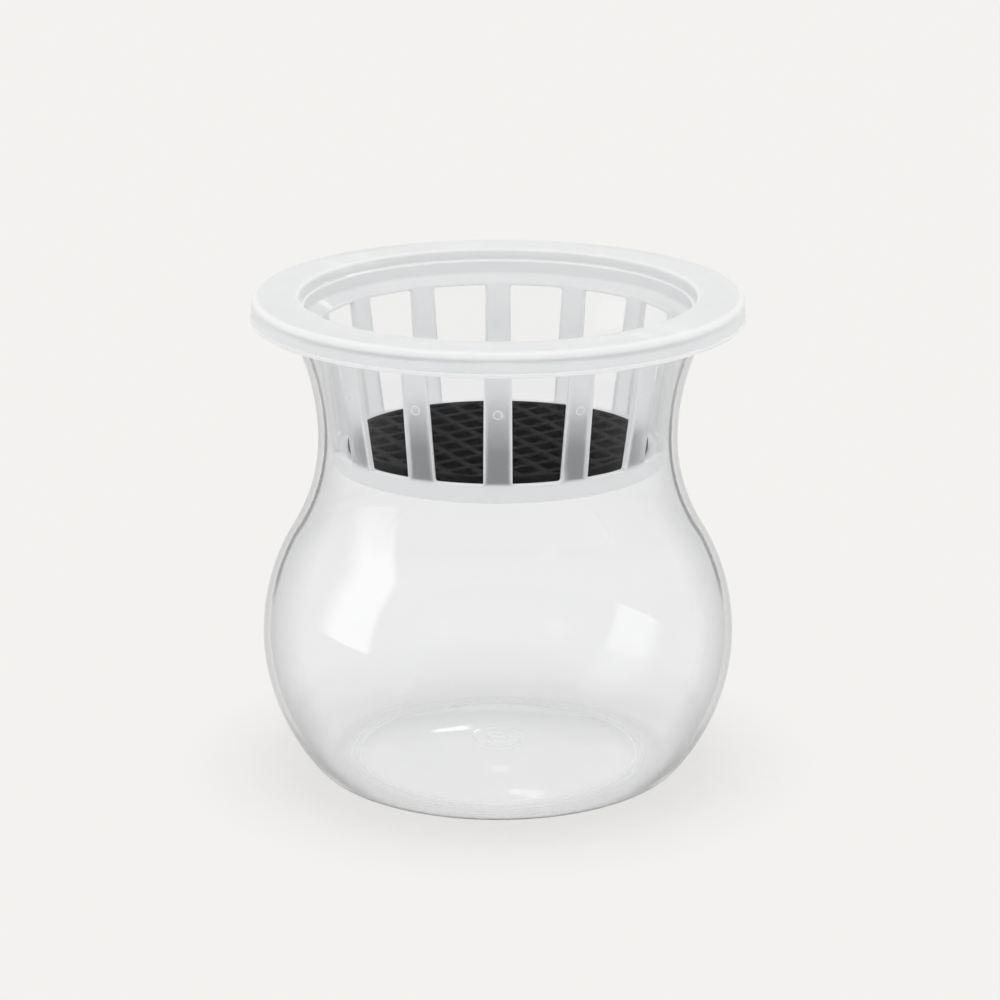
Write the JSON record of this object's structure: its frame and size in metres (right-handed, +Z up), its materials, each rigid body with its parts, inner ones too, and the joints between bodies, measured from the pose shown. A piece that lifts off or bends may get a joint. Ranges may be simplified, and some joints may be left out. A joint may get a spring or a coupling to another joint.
{
  "type": "hydroponic jar planter",
  "caption": "Clear waisted jar with a ribbed net basket that hangs in its mouth by a wide flange and holds a round black net pad.",
  "frame": {"origin": "centre of the jar's standing ring, on the surface that the jar stands on", "axes": "+Z up, along the jar's axis; -Y is the side that the picture looks at, where a rib of the basket faces it"},
  "size_m": [0.071, 0.071, 0.071],
  "materials": {
    "clear_plastic": "clear, glossy, blow-moulded",
    "milky_plastic": "translucent, milky, softly glossy",
    "black_net": "flexible, matt black with a faint sheen"
  },
  "bodies": {
    "jar_body": {"jar": "clear_plastic"},
    "basket_body": {"net_basket": "milky_plastic"},
    "pad_body": {"mesh_pad": "black_net"}
  },
  "joints": [
    {"name": "basket_lift", "type": "slide", "parent": "jar_body", "child": "basket_body", "axis": [0, 0, 1], "range_m": [0, 0.03]},
    {"name": "mesh_lift", "type": "slide", "parent": "basket_body", "child": "pad_body", "axis": [0, 0, 1], "range_m": [0, 0.028]}
  ]
}
